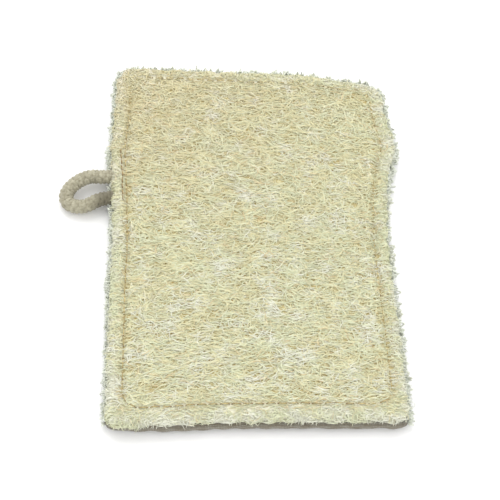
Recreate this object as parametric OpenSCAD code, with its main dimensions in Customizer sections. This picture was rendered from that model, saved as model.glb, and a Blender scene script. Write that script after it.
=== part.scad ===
// Hand-sized loofah scrubbing pad with a cotton terry back and a cord hanging loop.
// The pad lies on its back: +Z up through the loofah face, +Y along the pad, loop at -X.
// The origin is at the middle of the face that the pad rests on.

/* [Pad] */
// Width of the pad, across X
pad_w = 110; // [100:1:130]
// Length of the pad, along Y
pad_l = 150; // [130:1:180]
// Radius of the pad's four corners
corner_r = 9; // [8:0.5:14]
// Thickness of the terry back at its rim
back_t = 4; // [3.6:0.1:5]
// Thickness of the loofah face at its rim
face_t = 5; // [4.6:0.1:7]
// Thickness of the sponge liner
liner_t = 3; // [2:0.1:3.4]
// Width of the edges that are turned in at the rim
turn_in = 10.5; // [10:0.5:16]

/* [Stitching] */
// Distance from the pad's edge to the topstitching
stitch_inset = 7.5; // [6.5:0.5:9]
// Pitch of the topstitching
stitch_pitch = 4; // [3.5:0.5:6]
// Width and height of the sewing thread
thread_d = 0.8; // [0.5:0.1:1]
// Distance from the pad's edge to the hidden joining seam
seam_inset = 2.2; // [2:0.1:3]

/* [Hanging loop] */
// Diameter of the cord
cord_d = 5.8; // [5:0.1:5.9]
// Length of each cord end inside the pad
end_l = 10; // [6:0.5:10]
// Distance from the pad's edge to the line that the loop swings about
swing_gap = 4; // [3.8:0.1:4.5]

/* [Hidden] */

// Heights: the seam between the two panels, and the top of the pad
seam_z = back_t;
pad_t = back_t + face_t;
// The liner lies in the pocket that the turned-in edges leave, half in each panel
pocket_z = seam_z - liner_t / 2;
liner_corner_r = 4.5;
// Topstitching: the groove that it draws into each panel
groove_w = thread_d + 0.8;
groove_depth = 2;
back_groove_depth = 1.3;
// Height of the middle of the stitches on each side
needle_z = pad_t - groove_depth + thread_d / 2;
bobbin_z = back_groove_depth - thread_d / 2;
stitch_corner_r = 5.5;
// The loop leaves the pad's left edge between the panels
cord_r = cord_d / 2;
cord_z = seam_z + 0.5;
upper_y = 23.7;
lower_y = 14.8;
swing_x = -pad_w / 2 - swing_gap;
end_gap = 0.8;
end_x = swing_x + cord_r + end_gap;
end_inner_x = -pad_w / 2 + end_l;
// The tack: short, dense stitches in a second row outside the topstitching
tack_x = -pad_w / 2 + stitch_inset - 2;
tack_first_y = 12;
tack_pitch = 2;
tack_count = 11;
// Route of the loop's middle line, from the upper end round to the lower one
loop_route = [
    [swing_x, upper_y, cord_z],
    [-60.8, 23.9, 4.6],
    [-62.9, 23.4, 4.8],
    [-65.3, 22.3, 4.8],
    [-67.6, 20.7, 4.6],
    [-69.7, 18.6, 4.3],
    [-71, 16.1, 3.8],
    [-70.9, 13.6, 3.4],
    [-69.4, 11.8, 3.2],
    [-67, 11.1, 3.3],
    [-64.6, 11.5, 3.6],
    [-62.5, 12.5, 4],
    [-60.8, 13.6, 4.3],
    [swing_x, lower_y, cord_z]
];
cord_sides = 12;
// Rounding of the loop's two tips: steps along the tip, each as [distance, radius] in cord radii
tip_steps = [[1, 0.12], [0.85, 0.53], [0.5, 0.87]];

// Straight-sided plate with rounded corners, standing on z = 0
module rounded_plate(w, l, r, t) {
    linear_extrude(t)
        union() {
            square([w, l - 2 * r], center = true);
            square([w - 2 * r, l], center = true);
            for (sx = [-1, 1], sy = [-1, 1])
                translate([sx * (w / 2 - r), sy * (l / 2 - r)])
                    circle(r, $fn = 48);
        }
}

// Plate whose whole rim is a half round, as a folded edge is
module soft_plate(w, l, r, t) {
    e = t / 2;
    rounded_plate(w - t, l - t, r - e, t);
    for (s = [-1, 1]) {
        translate([s * (w / 2 - e), 0, e])
            rotate([90, 0, 0])
                cylinder(h = l - 2 * r, r = e, center = true, $fn = 32);
        translate([0, s * (l / 2 - e), e])
            rotate([0, 90, 0])
                cylinder(h = w - 2 * r, r = e, center = true, $fn = 32);
    }
    for (sx = [-1, 1], sy = [-1, 1])
        translate([sx * (w / 2 - r), sy * (l / 2 - r), e])
            rotate_extrude($fn = 48)
                translate([r - e, 0])
                    circle(e, $fn = 32);
}

// Frame of square section, centred on the outline that lies a given distance inside the pad's edge
module ring(inset, r, width, z0, z1) {
    w = pad_w - 2 * inset;
    l = pad_l - 2 * inset;
    h = width / 2;
    translate([0, 0, z0])
        difference() {
            rounded_plate(w + width, l + width, r + h, z1 - z0);
            translate([0, 0, -1])
                rounded_plate(w - width, l - width, r - h, z1 - z0 + 2);
        }
}

module liner_shape() {
    translate([0, 0, pocket_z])
        rounded_plate(pad_w - 2 * turn_in, pad_l - 2 * turn_in, liner_corner_r, liner_t);
}

module cord_end(y) {
    translate([end_x, y, cord_z])
        rotate([0, 90, 0])
            cylinder(h = end_inner_x - end_x, r = cord_r, $fn = 32);
}

// The stitched outline's sides and corners, and its whole length
function stitch_w() = pad_w - 2 * stitch_inset;
function stitch_l() = pad_l - 2 * stitch_inset;
function side_x() = stitch_w() - 2 * stitch_corner_r;
function side_y() = stitch_l() - 2 * stitch_corner_r;
function arc_l() = stitch_corner_r * PI / 2;
function outline_l() = 2 * (side_x() + side_y()) + 4 * arc_l();

// A quarter of the outline is a straight side and the corner after it
function on_quarter(s, side, cx, cy, turn) =
    s <= side
    ? [cx - (side - s) * cos(turn) + stitch_corner_r * sin(turn),
       cy - (side - s) * sin(turn) - stitch_corner_r * cos(turn)]
    : [cx + stitch_corner_r * cos(turn - 90 + (s - side) / arc_l() * 90),
       cy + stitch_corner_r * sin(turn - 90 + (s - side) / arc_l() * 90)];

// One place along the stitched outline, by its distance along the line
function on_outline(s) =
    let (a = side_x() + arc_l(), b = side_y() + arc_l(), hx = side_x() / 2, hy = side_y() / 2)
    s < a ? on_quarter(s, side_x(), hx, -hy, 0)
    : s < a + b ? on_quarter(s - a, side_y(), hx, hy, 90)
    : s < 2 * a + b ? on_quarter(s - a - b, side_x(), -hx, hy, 180)
    : on_quarter(s - 2 * a - b, side_y(), -hx, -hy, 270);

stitch_n = round(outline_l() / stitch_pitch);
stitch_step = outline_l() / stitch_n;

// One stitch: a bar along the surface and the leg that goes down, or up, to the seam
module stitch(from, to, z, leg_z) {
    d = to - from;
    turn = atan2(d[1], d[0]);
    leg_low = min(z, leg_z);
    leg_high = max(z, leg_z);
    translate([from[0], from[1], z])
        rotate([0, 0, turn])
            translate([-thread_d / 2, -thread_d / 2, -thread_d / 2])
                cube([norm(d) + thread_d, thread_d, thread_d]);
    translate([from[0], from[1], leg_low])
        rotate([0, 0, turn])
            translate([-thread_d / 2, -thread_d / 2, 0])
                cube([thread_d, thread_d, leg_high - leg_low]);
}

module topstitch(z) {
    for (i = [0 : stitch_n - 1])
        stitch(on_outline(i * stitch_step), on_outline((i + 1) % stitch_n * stitch_step), z, seam_z);
}

module terry_back() {
    color("#dfe2d6")
        difference() {
            soft_plate(pad_w, pad_l, corner_r, back_t);
            liner_shape();
            cord_end(upper_y);
            cord_end(lower_y);
            ring(stitch_inset, stitch_corner_r, groove_w, -1, back_groove_depth);
            ring(seam_inset, corner_r - seam_inset, thread_d, seam_z - thread_d / 2, seam_z + 1);
        }
}

module loofah_face() {
    color("#dcd8ae")
        difference() {
            translate([0, 0, seam_z])
                soft_plate(pad_w, pad_l, corner_r, face_t);
            liner_shape();
            cord_end(upper_y);
            cord_end(lower_y);
            ring(stitch_inset, stitch_corner_r, groove_w, pad_t - groove_depth, pad_t + 1);
            ring(seam_inset, corner_r - seam_inset, thread_d, seam_z - 1, seam_z + thread_d / 2);
        }
}

module sponge_liner() {
    color("#f0e8c8")
        liner_shape();
}

module edge_seam_thread() {
    color("#e6dfc4")
        ring(seam_inset, corner_r - seam_inset, thread_d, seam_z - thread_d / 2, seam_z + thread_d / 2);
}

module topstitch_needle_thread() {
    color("#c8ab6a")
        topstitch(needle_z);
}

module topstitch_bobbin_thread() {
    color("#e6dfc4")
        topstitch(bobbin_z);
}

module loop_end_upper() {
    color("#c9c2aa")
        cord_end(upper_y);
}

module loop_end_lower() {
    color("#c9c2aa")
        cord_end(lower_y);
}

module loop_tack_thread() {
    color("#a88a52")
        for (i = [0 : tack_count - 1])
            stitch([tack_x, tack_first_y + i * tack_pitch], [tack_x, tack_first_y + (i + 1) * tack_pitch],
                   needle_z, bobbin_z);
}

// Directions along the loop's route, and the tube that follows it
function direction(i) =
    let (a = loop_route[max(i - 1, 0)], b = loop_route[min(i + 1, len(loop_route) - 1)], d = b - a)
    d / norm(d);

function section(p, d, r) =
    let (u = cross(d, [0, 0, 1]), side = u / norm(u), rise = cross(side, d))
    [for (k = [0 : cord_sides - 1]) p + r * (cos(k * 360 / cord_sides) * side + sin(k * 360 / cord_sides) * rise)];

module hanging_loop() {
    last = len(loop_route) - 1;
    sections = concat(
        [for (s = tip_steps) section(loop_route[0] + [s[0] * cord_r, 0, 0], [-1, 0, 0], s[1] * cord_r)],
        [section(loop_route[0], [-1, 0, 0], cord_r)],
        [for (i = [1 : last - 1]) section(loop_route[i], direction(i), cord_r)],
        [section(loop_route[last], [1, 0, 0], cord_r)],
        [for (i = [2 : -1 : 0])
            section(loop_route[last] + [tip_steps[i][0] * cord_r, 0, 0], [1, 0, 0], tip_steps[i][1] * cord_r)]
    );
    n = len(sections);
    walls = [
        for (j = [0 : n - 2], k = [0 : cord_sides - 1])
            [j * cord_sides + k, j * cord_sides + (k + 1) % cord_sides,
             (j + 1) * cord_sides + (k + 1) % cord_sides, (j + 1) * cord_sides + k]
    ];
    first_cap = [for (k = [cord_sides - 1 : -1 : 0]) k];
    last_cap = [for (k = [0 : cord_sides - 1]) (n - 1) * cord_sides + k];
    color("#c9c2aa")
        polyhedron([for (s = sections) each s], concat([first_cap], walls, [last_cap]), convexity = 4);
}

terry_back();
sponge_liner();
loofah_face();
edge_seam_thread();
topstitch_needle_thread();
topstitch_bobbin_thread();
loop_end_upper();
loop_end_lower();
loop_tack_thread();
hanging_loop();
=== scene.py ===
import math
import random

import bmesh
import bpy
import numpy as np
from bpy.props import FloatProperty, FloatVectorProperty, IntProperty, PointerProperty
from bpy.types import Operator, Panel, PropertyGroup
from mathutils import Matrix, Vector


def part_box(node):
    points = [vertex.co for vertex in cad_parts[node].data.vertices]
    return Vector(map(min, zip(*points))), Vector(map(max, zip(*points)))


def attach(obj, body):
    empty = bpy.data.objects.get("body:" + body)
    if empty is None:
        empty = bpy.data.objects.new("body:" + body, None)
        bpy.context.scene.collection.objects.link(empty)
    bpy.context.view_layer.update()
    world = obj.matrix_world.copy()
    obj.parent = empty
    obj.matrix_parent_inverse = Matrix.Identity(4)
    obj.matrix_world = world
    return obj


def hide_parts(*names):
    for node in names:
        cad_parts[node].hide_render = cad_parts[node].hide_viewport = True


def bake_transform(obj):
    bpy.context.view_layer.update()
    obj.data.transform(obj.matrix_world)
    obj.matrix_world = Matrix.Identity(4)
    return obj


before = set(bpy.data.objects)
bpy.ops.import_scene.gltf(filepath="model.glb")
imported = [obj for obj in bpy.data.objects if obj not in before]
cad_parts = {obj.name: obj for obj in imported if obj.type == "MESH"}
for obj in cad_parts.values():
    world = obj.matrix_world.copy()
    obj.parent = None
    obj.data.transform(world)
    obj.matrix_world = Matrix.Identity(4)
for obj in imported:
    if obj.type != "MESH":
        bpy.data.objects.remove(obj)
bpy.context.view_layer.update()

bl_info = {
    "name": "Loofah Scrubbing Pad",
    "version": (1, 0, 0),
    "blender": (4, 5, 0),
    "location": "3D View > Sidebar > Scrubber",
    "description": "Makes a loofah pad with a terry back, topstitching and a braided hanging loop",
    "category": "Add Mesh",
}

MM = 0.001

FACE_LOW, FACE_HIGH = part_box("loofah_face")
BACK_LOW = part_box("terry_back")[0]
STITCH_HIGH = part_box("topstitch_needle_thread")[1]
TACK_LOW, TACK_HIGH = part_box("loop_tack_thread")
END_LOW, END_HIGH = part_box("loop_end_upper")

HALF_W = FACE_HIGH.x
HALF_L = FACE_HIGH.y
SEAM_Z = FACE_LOW.z
TOP_Z = FACE_HIGH.z
CORD_D = END_HIGH.y - END_LOW.y

# Radius of the topstitching's round corners
STITCH_CORNER = 5.5 * MM

# A fibre's thickness as a share of its width
FLATNESS = 0.7

# How many different shapes a scattered piece is drawn from
FIBRE_SHAPES = 40
SMALL_SHAPES = 16

# One stitch from hole to hole: share of its length, and share of its height above the holes
STITCH_PROFILE = ((0.0, 0.0), (0.1, 0.55), (0.22, 0.95), (0.5, 1.0), (0.78, 0.95), (0.9, 0.55))

# Middle line of the cord's free bight, from its upper end round to its lower one
BIGHT = [
    (-0.0590, 0.0237, 0.0045),
    (-0.0608, 0.0239, 0.0046),
    (-0.0629, 0.0234, 0.0048),
    (-0.0653, 0.0223, 0.0048),
    (-0.0676, 0.0207, 0.0046),
    (-0.0697, 0.0186, 0.0043),
    (-0.0710, 0.0161, 0.0038),
    (-0.0709, 0.0136, 0.0034),
    (-0.0694, 0.0118, 0.0032),
    (-0.0670, 0.0111, 0.0033),
    (-0.0646, 0.0110, 0.0036),
    (-0.0625, 0.0116, 0.0040),
    (-0.0608, 0.0125, 0.0043),
    (-0.0590, 0.0136, 0.0045),
]


def length(name, description, default):
    return FloatProperty(
        name=name, description=description, default=default, unit="LENGTH", subtype="DISTANCE", precision=5
    )


def number(name, description, default):
    return IntProperty(name=name, description=description, default=default)


def amount(name, description, default):
    return FloatProperty(name=name, description=description, default=default)


def colour(name, description, default):
    return FloatVectorProperty(
        name=name, description=description, default=default, subtype="COLOR", min=0, max=1, size=3
    )


class PadSettings(PropertyGroup):
    face_fold: length("Face fold", "Radius of the loofah's folded rim", 1.9 * MM)
    back_fold: length("Back fold", "Radius of the terry cloth's folded rim", 1.25 * MM)
    face_inset: length("Face inset", "How far the loofah's rim stays inside the outline", 2.1 * MM)
    back_inset: length("Back inset", "How far the cloth under the pile stays inside the outline", 1.3 * MM)
    face_drop: length("Face drop", "How much longer the loofah is at its lower edge", 1.0 * MM)
    face_short: length("Face short", "How far the loofah stays behind the terry at its upper edge", 1.3 * MM)
    back_drop: length("Back drop", "How much longer the terry is at its lower edge", 2.0 * MM)
    upper_corner: length("Upper corners", "Radius of the two corners by the loop", 8.0 * MM)
    lower_corner: length("Lower corners", "Radius of the other two corners", 3.4 * MM)
    rim_drop: length("Rim drop", "How far the rim lies below the top of the pad", 1.1 * MM)
    crown: length("Crown", "Rise of the face from the stitching to its middle", 0.7 * MM)
    groove_depth: length("Groove depth", "How deep the stitching pulls into the face", 1.0 * MM)
    groove_width: length("Groove width", "Half width of the pulled-in groove", 1.3 * MM)
    grid: length("Grid", "Mesh spacing of the two panels", 1.3 * MM)


class FibreSettings(PropertyGroup):
    width: length("Fibre width", "Width of one loofah fibre", 0.32 * MM)
    length: length("Fibre length", "Mean length of one visible fibre", 4.6 * MM)
    count: number("Fibres", "Number of fibres in each of the mat's layers", 5240)
    stray: number("Stray fibres", "Number of frayed ends round the rim", 1100)
    pore: length("Pore", "Radius of the mat's larger open pores", 0.29 * MM)
    pore_pitch: length("Pore pitch", "Mean distance between pores", 1.75 * MM)
    straw: colour("Straw", "Colour of most fibres", (0.80, 0.76, 0.485))
    green: colour("Greenish", "Colour of the fibres that kept some green", (0.77, 0.79, 0.56))
    bleached: colour("Bleached", "Colour of the palest fibres", (0.85, 0.85, 0.72))
    tan: colour("Tan", "Colour of the few brown fibres", (0.73, 0.60, 0.35))
    # Painted shade: the depth colour stands in for the shade in the gaps and pits of the loofah mat.
    depth: colour("Depth", "Colour deep inside the mat", (0.42, 0.32, 0.12))


class TerrySettings(PropertyGroup):
    loop_height: length("Loop height", "Height of a terry loop", 1.5 * MM)
    yarn: length("Pile yarn", "Width of the pile yarn", 0.34 * MM)
    rim_pitch: length("Rim pitch", "Mean distance between loops round the rim", 0.95 * MM)
    back_pitch: length("Back pitch", "Mean distance between loops on the back", 1.5 * MM)
    fringe_height: length("Fringe height", "Height of the loops that stand out at the seam", 2.3 * MM)
    fringe: number("Fringe", "Number of loops that stand out at the seam", 4700)
    fuzz: number("Fuzz", "Number of loose fine hairs round the rim", 3500)
    pile: colour("Pile", "Colour of the cotton pile", (0.84, 0.87, 0.76))
    # Painted shade: the ground cloth is kept darker than the pile, for the shade between the loops.
    cloth: colour("Ground cloth", "Colour of the woven ground", (0.58, 0.58, 0.51))
    # Painted shade: this dark colour stands in for the shadow under the loofah's overhang on the lower fold.
    edge: colour("Folded edge", "Colour of the worn fold along the lower edge", (0.22, 0.19, 0.14))


class CordSettings(PropertyGroup):
    strands: number("Strands", "Strands that turn each way in the braid", 4)
    plait: length("Plait", "Length of one full turn of a strand", 11.0 * MM)
    strand_w: length("Strand width", "Width of one flattened strand", 2.3 * MM)
    strand_t: length("Strand thickness", "Thickness of one flattened strand", 1.3 * MM)
    weave: length("Weave", "How far a strand rises over and dips under the others", 0.42 * MM)
    sewn_in: length("Sewn in", "Length of each end inside the pad", 9 * MM)
    cotton: colour("Cotton", "Colour of the cord", (0.46, 0.436, 0.325))
    # Painted shade: this colour stands in for the shade between the yarns and in the crevices of the braid.
    shade: colour("Worn cotton", "Colour between the cord's yarns", (0.22, 0.195, 0.13))


class ThreadSettings(PropertyGroup):
    thickness: length("Thread", "Thickness of the sewing thread", 0.4 * MM)
    pitch: length("Stitch", "Length of one stitch", 4 * MM)
    needle: colour("Needle thread", "Colour of the thread on the face", (0.67, 0.56, 0.28))
    tack: colour("Tack thread", "Colour of the short dense row by the loop", (0.52, 0.38, 0.17))
    bobbin: colour("Bobbin thread", "Colour of the thread on the back", (0.72, 0.68, 0.56))


class StageSettings(PropertyGroup):
    azimuth: amount("Azimuth", "Camera turn round the pad, degrees", -11.3)
    elevation: amount("Elevation", "Camera height above the floor, degrees", 61.3)
    roll: amount("Roll", "Camera roll, degrees", 11.4)
    distance: length("Distance", "Camera to the middle of the view", 0.4744)
    lens: amount("Lens", "Focal length, millimetres", 91.4)
    key: amount("Key light", "Power of the main light, watts", 7.0)
    fill: amount("Fill light", "Power of the side light, watts", 2.0)
    sky: amount("Surround", "Strength of the even surround", 1.12)
    floor: colour("Floor", "Colour of the floor", (0.96, 0.96, 0.96))


GROUPS = {
    "scrubber_pad": PadSettings,
    "scrubber_fibre": FibreSettings,
    "scrubber_terry": TerrySettings,
    "scrubber_cord": CordSettings,
    "scrubber_thread": ThreadSettings,
    "scrubber_stage": StageSettings,
}


# ---------------------------------------------------------------- materials


class Wire:
    """A value socket. Arithmetic on it adds Math nodes to its material."""

    def __init__(self, finish, socket):
        self.finish = finish
        self.socket = socket

    def maths(self, operation, *values):
        return self.finish.node("ShaderNodeMath", {"operation": operation}, *values)[0]

    def __add__(self, other):
        return self.maths("ADD", self, other)

    def __sub__(self, other):
        return self.maths("SUBTRACT", self, other)

    def __rsub__(self, other):
        return self.maths("SUBTRACT", other, self)

    def __mul__(self, other):
        return self.maths("MULTIPLY", self, other)

    def __truediv__(self, other):
        return self.maths("DIVIDE", self, other)

    __radd__ = __add__
    __rmul__ = __mul__

    def size(self):
        """The value without its sign."""
        return self.maths("ABSOLUTE", self)

    def larger(self, other):
        return self.maths("MAXIMUM", self, other)

    def between(self, low, high):
        """0 below low, 1 above high and smooth between them."""
        settings = {"interpolation_type": "SMOOTHSTEP"}
        return self.finish.node("ShaderNodeMapRange", settings, self, low, high, 0.0, 1.0)[0]


class Finish:
    """One material under construction."""

    def __init__(self, name, roughness=0.8, sheen=0.0):
        self.material = bpy.data.materials.new(name)
        self.material.use_nodes = True
        self.tree = self.material.node_tree
        self.shader = next(n for n in self.tree.nodes if n.type == "BSDF_PRINCIPLED")
        self.shader.inputs["Roughness"].default_value = roughness
        self.shader.inputs["Sheen Weight"].default_value = sheen
        self.shader.inputs["Sheen Roughness"].default_value = 0.5
        self.shader.inputs["Specular IOR Level"].default_value = 0.25

    def node(self, kind, settings, *values):
        """Adds a node. settings are set first, then its inputs in order; None leaves an input as it is."""
        node = self.tree.nodes.new(kind)
        for key, value in settings.items():
            setattr(node, key, value)
        sockets = [s for s in node.inputs if s.enabled]
        for socket, value in zip(sockets, values):
            self.feed(socket, value)
        return [Wire(self, s) for s in node.outputs if s.enabled]

    def feed(self, socket, value):
        if isinstance(value, Wire):
            self.tree.links.new(value.socket, socket)
        elif value is not None:
            wanted = getattr(socket, "default_value", value)
            is_colour = hasattr(wanted, "__len__") and len(wanted) == 4 and len(value) == 3
            socket.default_value = (*value, 1) if is_colour else value

    def place(self):
        return self.node("ShaderNodeTexCoord", {})[3]

    def attribute(self, name, output=2):
        return self.node("ShaderNodeAttribute", {"attribute_name": name})[output]

    def stretched(self, vector, scale, turn=0.0):
        settings = {"vector_type": "POINT"}
        return self.node("ShaderNodeMapping", settings, vector, None, (0, 0, turn), scale)[0]

    def noise(self, vector, scale, detail=3.0, roughness=0.55):
        settings = {"noise_dimensions": "3D"}
        return self.node("ShaderNodeTexNoise", settings, vector, scale, detail, roughness)[0]

    def bands(self, vector, direction, scale):
        """Soft parallel bands, as the yarns of a weave that run one way."""
        settings = {"wave_type": "BANDS", "bands_direction": direction, "wave_profile": "SIN"}
        return self.node("ShaderNodeTexWave", settings, vector, scale, 1.5, 1.0, 2.0)[1]

    def axes(self, vector):
        """The vector's x, y and z as three values."""
        return self.node("ShaderNodeSeparateXYZ", {}, vector)

    def mix(self, share, first, second):
        return self.node("ShaderNodeMix", {"data_type": "RGBA"}, share, first, second)[0]

    def bump(self, height, distance, strength=1.0):
        return self.node("ShaderNodeBump", {}, strength, distance, None, height)[0]

    def done(self, base, roughness=None, normal=None):
        self.feed(self.shader.inputs["Base Color"], base)
        self.feed(self.shader.inputs["Roughness"], roughness)
        self.feed(self.shader.inputs["Normal"], normal)
        return self.material


def loofah_fibre(colours):
    """Dry plant fibre: every strand has its own tone, in patches of straw, green and bleached."""
    f = Finish("loofah_fibre", sheen=0.1)
    place = f.place()
    tone = f.attribute("tone")
    tint = f.attribute("tint")
    patch = f.noise(place, 70.0, 2.0)
    streak = f.noise(f.stretched(place, (0.5, 1.0, 1.0)), 1500.0, 2.0)
    greener = (tint * 1.6 - 0.3 + (patch - 0.5) * 2.2).between(0.25, 0.75)
    greenish = f.mix(greener, colours.straw, colours.green)
    pale = (tone * 0.6 + (f.noise(place, 110.0, 2.0) - 0.5) * 1.7).between(0.32, 0.75)
    bleached = f.mix(pale, greenish, colours.bleached)
    brown = f.attribute("brown")
    x, y, _ = f.axes(place)
    aged = y.between(-HALF_L / 3, HALF_L) * (1.1 - (x / HALF_W)) * 0.18
    browned = f.mix(brown + (1 - brown) * aged, bleached, colours.tan)
    shaded = f.mix(streak.between(0.55, 0.8) * 0.22, browned, colours.depth)
    rough = 0.68 + streak * 0.2
    return f.done(shaded, rough, f.bump(streak, 0.00006, 0.6))


def loofah_mat(colours):
    """The mat below the loose fibres: pitted and finely streaked along the fibres, and a little darker with
    painted shade in its pits and between its streaks.
    """
    f = Finish("loofah_mat", 0.85)
    place = f.place()
    fibres = f.noise(f.stretched(place, (0.28, 1.0, 1.0)), 2600.0, 3.0)
    pits = f.noise(place, 900.0, 2.0)
    # Painted shade: the mat mixes towards the depth colour between its fine streaks and, below, in its pits.
    base = f.mix(fibres.between(0.35, 0.62) * 0.85, colours.depth, colours.straw)
    pit_shaded = f.mix(pits.between(0.58, 0.7) * 0.5, base, colours.depth)
    x, y, _ = f.axes(place)
    near_edge = (x / HALF_W).size().larger((y / HALF_L).size())
    pressed = f.mix(near_edge.between(0.86, 0.94) * 0.75, pit_shaded, colours.bleached)
    return f.done(pressed, 0.75 + fibres * 0.2, f.bump(fibres - pits * 0.5, 0.0004))


def terry_pile(colours):
    """Soft looped cotton yarn, a little grey in its depth."""
    f = Finish("terry_pile", 0.9, sheen=0.25)
    place = f.place()
    tone = f.attribute("tone")
    twist = f.noise(place, 2200.0, 2.0)
    soiled = f.noise(place, 60.0, 2.0)
    grey = tuple(c * 0.8 for c in colours.pile)
    base = f.mix((tone * 0.6 + twist * 0.4).between(0.1, 0.75), grey, colours.pile)
    warm = f.mix(soiled.between(0.5, 0.75) * 0.4, base, (0.66, 0.63, 0.48))
    return f.done(warm, 0.8 + twist * 0.15, f.bump(twist, 0.0001))


def terry_ground(colours):
    """Woven ground of the terry, darker than the pile as painted shade between the loops: warp and weft, and
    painted shade on the fold along the lower edge, under the loofah's overhang.
    """
    f = Finish("terry_ground", 0.9, sheen=0.15)
    flat = f.attribute("flat", 1)
    y = f.axes(f.place())[1]
    weave = f.bands(flat, "X", 560.0) * f.bands(flat, "Y", 470.0)
    slub = f.noise(f.stretched(flat, (0.15, 1.0, 1.0)), 1800.0, 3.0)
    dark = tuple(c * 0.6 for c in colours.cloth)
    base = f.mix(weave.between(0.05, 0.6), dark, colours.cloth)
    # Painted shade along the lower fold, standing in for the shadow under the loofah's overhang; the slub and
    # weave only break it up, and the colour below is the ground with this painted shade.
    fold_shade_breakup = 0.62 + 0.38 * slub.between(0.62, 0.4) - 0.22 * weave
    fold = (-HALF_L + 3 * MM - y).between(0.0, 2.5 * MM) * fold_shade_breakup
    worn = f.mix(fold, base, colours.edge)
    return f.done(worn, 0.85 + weave * 0.1, f.bump(weave + slub * 0.7, 0.00025))


def cord_cotton(colours):
    """Braided cotton: fine yarns twisted along each strand, with painted shade between the yarns and in the
    crevices between strands, and a painted shadow on the lower strand where it runs in under the pad.
    """
    f = Finish("cord_cotton", 0.88, sheen=0.2)
    lie = f.attribute("lie", 1)
    yarn = f.noise(f.stretched(lie, (0.10, 1.0, 1.0)), 4200.0, 2.0)
    fluff = f.noise(lie, 1500.0, 3.0)
    soil = f.noise(f.place(), 160.0, 2.0)
    deep = f.attribute("deep")
    # Painted shade: the cotton mixes towards the shade colour between its fine yarns and in the crevices,
    # where a point lies deep below the cord's top.
    base = f.mix(0.4 + yarn.between(0.3, 0.62) * 0.6, colours.shade, colours.cotton)
    lit = f.mix(deep.between(0.12, 0.75) * 0.95, base, colours.shade)
    tinted = f.mix(f.attribute("tone") * 0.38, lit, colours.shade)
    soiled = f.mix(soil.between(0.5, 0.8) * 0.35, tinted, (0.46, 0.43, 0.30))
    # Painted shadow on the lower strand where it runs in under the pad's edge, laid over the real soiling.
    soiled = f.mix(f.attribute("root_shadow") * 0.75, soiled, tuple(c * 0.5 for c in colours.shade))
    return f.done(soiled, 0.8 + fluff * 0.18, f.bump(yarn + fluff * 0.5, 0.00018))


def spun_thread(name, shade):
    """Two-ply sewing thread, twisted along the stitch, with painted shade where it sinks into its needle
    holes.
    """
    f = Finish(name, 0.75, sheen=0.1)
    place = f.place()
    ply = f.noise(place, 3500.0, 2.0)
    worn = f.noise(place, 220.0, 2.0)
    dark = tuple(c * 0.5 for c in shade)
    pale = tuple(min(1.0, c * 1.35) for c in shade)
    base = f.mix(ply.between(0.35, 0.65), dark, shade)
    varied = f.mix(worn.between(0.45, 0.7) * 0.5, base, pale)
    # Painted shade: near its needle holes the thread darkens towards this brown.
    brown = tuple(c * k for c, k in zip(shade, (0.2, 0.11, 0.07)))
    sunk = f.mix(f.attribute("sunk"), varied, brown)
    return f.done(sunk, 0.7 + ply * 0.2, f.bump(ply, 0.00008))


def open_foam():
    """Open-cell sponge: round cells with paler walls, the cells darkened with painted shade."""
    f = Finish("open_foam", 0.95)
    place = f.place()
    cells = f.node("ShaderNodeTexVoronoi", {"feature": "F1"}, place, 1400.0)[0]
    # Painted shade: each cell darkens towards its hollow middle.
    base = f.mix(cells.between(0.1, 0.7), (0.55, 0.48, 0.30), (0.86, 0.80, 0.60))
    return f.done(base, 0.85 + cells * 0.1, f.bump(cells, 0.0003))


def pale_floor(shade):
    """Plain pale floor, very slightly uneven."""
    f = Finish("pale_floor", 0.6)
    grain = f.noise(f.place(), 12.0, 2.0)
    tinted = f.mix(grain * 0.3, shade, tuple(c * 0.97 for c in shade))
    return f.done(tinted, 0.55 + grain * 0.1)


# ---------------------------------------------------------------- shape of the pad


def smooth(values):
    """0 up to 0, 1 from 1 on, and a smooth rise between them."""
    t = np.clip(values, 0.0, 1.0)
    return t * t * (3 - 2 * t)


def hump(values):
    """1 at 0, falling away smoothly on both sides."""
    return np.exp(-np.square(values))


def ripples(x, y, wave, seed):
    """Soft random relief between -1 and 1 with features about one wave long."""
    draw = random.Random(seed)
    total = np.zeros_like(x)
    count = 7
    for _ in range(count):
        turn = draw.uniform(0, math.tau)
        step = math.tau / (wave * draw.uniform(0.7, 1.5))
        total += np.sin(step * (x * math.cos(turn) + y * math.sin(turn)) + draw.uniform(0, math.tau))
    return total / math.sqrt(count)


def past_corner(dx, dy):
    """Signed distance from a corner's two sides, given how far a point lies past each of them."""
    outside = np.hypot(np.maximum(dx, 0), np.maximum(dy, 0))
    return outside + np.minimum(np.maximum(dx, dy), 0)


def stitch_distance(x, y):
    """Signed distance from the stitched outline, negative inside it."""
    dx = np.abs(x) - (STITCH_HIGH.x - STITCH_CORNER)
    dy = np.abs(y) - (STITCH_HIGH.y - STITCH_CORNER)
    return past_corner(dx, dy) - STITCH_CORNER


def cut_by_hand(points):
    """Moves points as the uneven, hand-cut outline does. Each term is a bulge or a taper of an edge."""
    x, y = points[:, 0] / MM, points[:, 1] / MM
    half_w, half_l = HALF_W / MM, HALF_L / MM
    right = 4 * hump((y - 42) / 11) - 2 * hump((y + 5) / 28)
    right += 0.8 * smooth((y - 45) / 20) + 0.8 * smooth((-y - 45) / 30) - 1.0
    top = 1.0 - 3.4 * smooth((x - 17) / 34)
    bottom = np.where(x < 0, 1.7, 0.7) * x / half_w - 1.2 * smooth((-x - 12) / 34) - 0.3
    left = -1.3 * hump((y - 33) / 13) + 0.5 * hump((y + 8) / 10)
    moved = points.copy()
    moved[:, 0] += (right * smooth(x / half_w) + left * smooth(-x / half_w)) * MM
    moved[:, 1] += (top * smooth(y / half_l) + bottom * smooth(-y / half_l)) * MM
    return moved


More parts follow.
